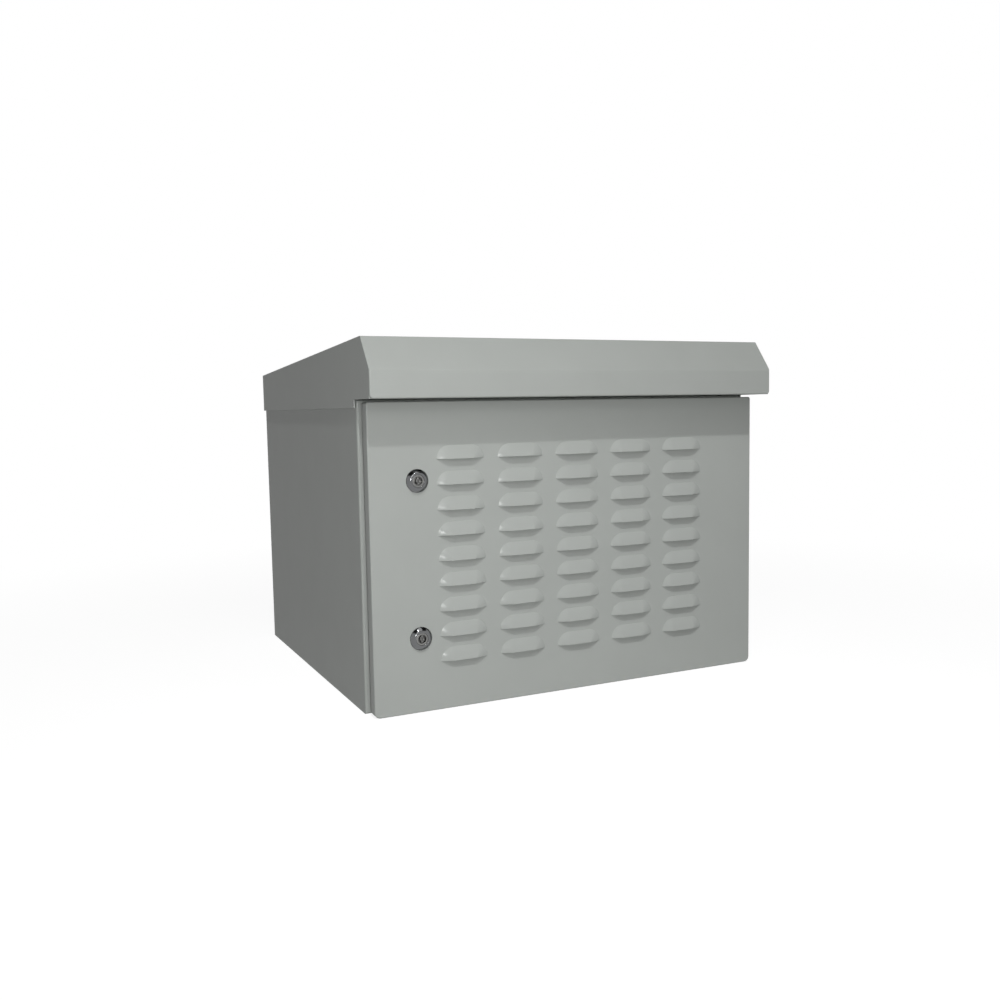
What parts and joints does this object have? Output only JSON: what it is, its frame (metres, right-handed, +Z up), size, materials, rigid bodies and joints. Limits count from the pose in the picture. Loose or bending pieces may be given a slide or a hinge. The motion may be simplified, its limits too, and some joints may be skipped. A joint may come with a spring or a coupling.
{
  "type": "roadside utility cabinet",
  "caption": "Small outdoor equipment cabinet of folded sheet steel with a louvred hinged door, quarter-turn locks, a sloped rain hood and rack rails inside.",
  "frame": {"origin": "middle of the ground outline, on the underside of the floor", "axes": "+X right seen from the front, +Y to the rear (the door faces -Y), +Z up"},
  "size_m": [0.606, 0.584, 0.4799],
  "materials": {
    "body_paint": "powder-coated, light grey, fine texture",
    "lock_chrome": "polished",
    "zinc_steel": "zinc-plated",
    "lock_insert_metal": "die-cast zinc, dull nickel",
    "rubber": "matte",
    "filter_fleece": "bonded polyester fleece"
  },
  "bodies": {
    "cabinet": {"left_side_panel": "body_paint", "right_side_panel": "body_paint", "floor_panel": "body_paint", "top_panel": "body_paint", "rear_panel": "body_paint", "rain_hood": "body_paint", "hood_support_front": "body_paint", "hood_support_rear": "body_paint", "hood_bolts": "zinc_steel", "hood_nuts": "zinc_steel", "gland_plate": "zinc_steel", "gland_plate_screws": "zinc_steel", "rail_channel_lower_left": "zinc_steel", "rail_channel_lower_right": "zinc_steel", "rail_channel_upper_left": "zinc_steel", "rail_channel_upper_right": "zinc_steel", "rack_rail_front_left": "zinc_steel", "rack_rail_front_right": "zinc_steel", "rack_rail_rear_left": "zinc_steel", "rack_rail_rear_right": "zinc_steel", "rail_screws": "zinc_steel", "rail_nuts": "zinc_steel", "body_earth_stud": "zinc_steel", "body_earth_nut": "zinc_steel", "hinge_body_leaf_lower": "zinc_steel", "hinge_body_leaf_upper": "zinc_steel", "hinge_pin_lower": "zinc_steel", "hinge_pin_upper": "zinc_steel", "gland_plate_gasket": "rubber", "cable_grommets": "rubber"},
    "door": {"door_panel": "body_paint", "door_gasket": "rubber", "filter_frame": "zinc_steel", "filter_mat": "filter_fleece", "filter_studs": "zinc_steel", "filter_nuts": "zinc_steel", "door_earth_stud": "zinc_steel", "door_earth_nut": "zinc_steel", "lock_housing_lower": "lock_chrome", "lock_housing_upper": "lock_chrome", "lock_nut_lower": "zinc_steel", "lock_nut_upper": "zinc_steel", "hinge_door_leaf_lower": "zinc_steel", "hinge_door_leaf_upper": "zinc_steel"},
    "lock_lower": {"lock_insert_lower": "lock_insert_metal", "lock_cam_lower": "zinc_steel", "lock_cam_screw_lower": "zinc_steel"},
    "lock_upper": {"lock_insert_upper": "lock_insert_metal", "lock_cam_upper": "zinc_steel", "lock_cam_screw_upper": "zinc_steel"}
  },
  "joints": [
    {"name": "door_hinge", "type": "hinge", "parent": "cabinet", "child": "door", "pos_m": [0.29, -0.2417, 0.2], "axis": [0, 0, 1], "range_deg": [0, 115]},
    {"name": "lock_turn_lower", "type": "hinge", "parent": "door", "child": "lock_lower", "pos_m": [-0.2325, -0.2567, 0.0975], "axis": [0, 1, 0], "range_deg": [0, 90]},
    {"name": "lock_turn_upper", "type": "hinge", "parent": "door", "child": "lock_upper", "pos_m": [-0.2325, -0.2567, 0.3], "axis": [0, 1, 0], "range_deg": [0, 90]}
  ]
}
